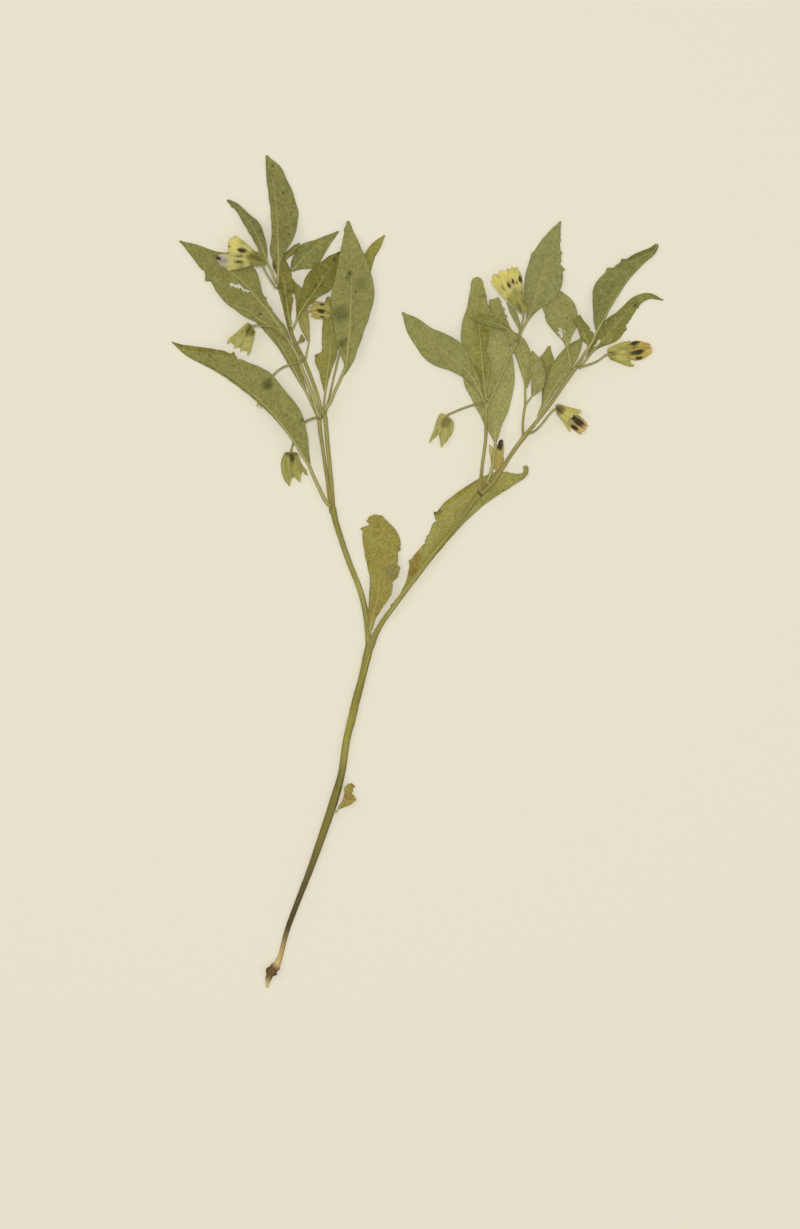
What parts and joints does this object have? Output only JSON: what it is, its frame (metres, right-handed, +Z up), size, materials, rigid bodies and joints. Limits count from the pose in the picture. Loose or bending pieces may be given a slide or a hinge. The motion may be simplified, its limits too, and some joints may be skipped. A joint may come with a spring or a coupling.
{
  "type": "pressed flowering groundcherry plant",
  "caption": "Dried, pressed groundcherry plant in flower, lying flat: a forked stem with lance-shaped leaves, pale yellow flowers and drooping open calyces.",
  "frame": {"origin": "centre of the plant's bounding box in plan, at its lowest face", "axes": "+Y along the stem, from its foot to its flowering shoots; +Z up, away from the surface it lies on; +X towards the right-hand shoot"},
  "size_m": [0.1816, 0.3072, 0.0086],
  "materials": {
    "stem": "satin",
    "leaf": "matte",
    "calyx": "matte",
    "corolla": "matte"
  },
  "bodies": {
    "root": {"leaf_bract": "leaf", "corolla_hidden": "corolla", "calyx_hidden": "calyx", "leaf_wide": "leaf", "leaf_wedge": "leaf", "leaf_hooked": "leaf", "leaf_crossing": "leaf", "stem": "stem", "leaf_behind": "leaf", "leaf_notched": "leaf", "corolla_shaded": "corolla", "calyx_shaded": "calyx", "leaf_inner": "leaf", "leaf_ovate": "leaf", "leaf_dark": "leaf", "leaf_big": "leaf", "leaf_small": "leaf", "leaf_under": "leaf", "leaf_broad": "leaf", "leaf_torn": "leaf", "calyx_left": "calyx", "calyx_veiled": "calyx", "calyx_nodding": "calyx", "leaf_long": "leaf", "leaf_axil": "leaf", "leaf_top": "leaf", "leaf_narrow": "leaf", "corolla_top": "corolla", "calyx_top": "calyx", "leaf_stemside": "leaf", "leaf_leaflet": "leaf", "leaf_tall": "leaf", "leaf_outer": "leaf", "leaf_sliver": "leaf", "calyx_middle": "calyx", "leaf_holed": "leaf", "leaf_curled": "leaf", "leaf_crown": "leaf", "leaf_needle": "leaf", "corolla_crown": "corolla", "calyx_crown": "calyx", "corolla_outer": "corolla", "calyx_outer": "calyx", "corolla_low": "corolla", "calyx_low": "calyx", "leaf_upper": "leaf", "leaf_fork": "leaf", "leaf_basal": "leaf"}
  },
  "joints": []
}
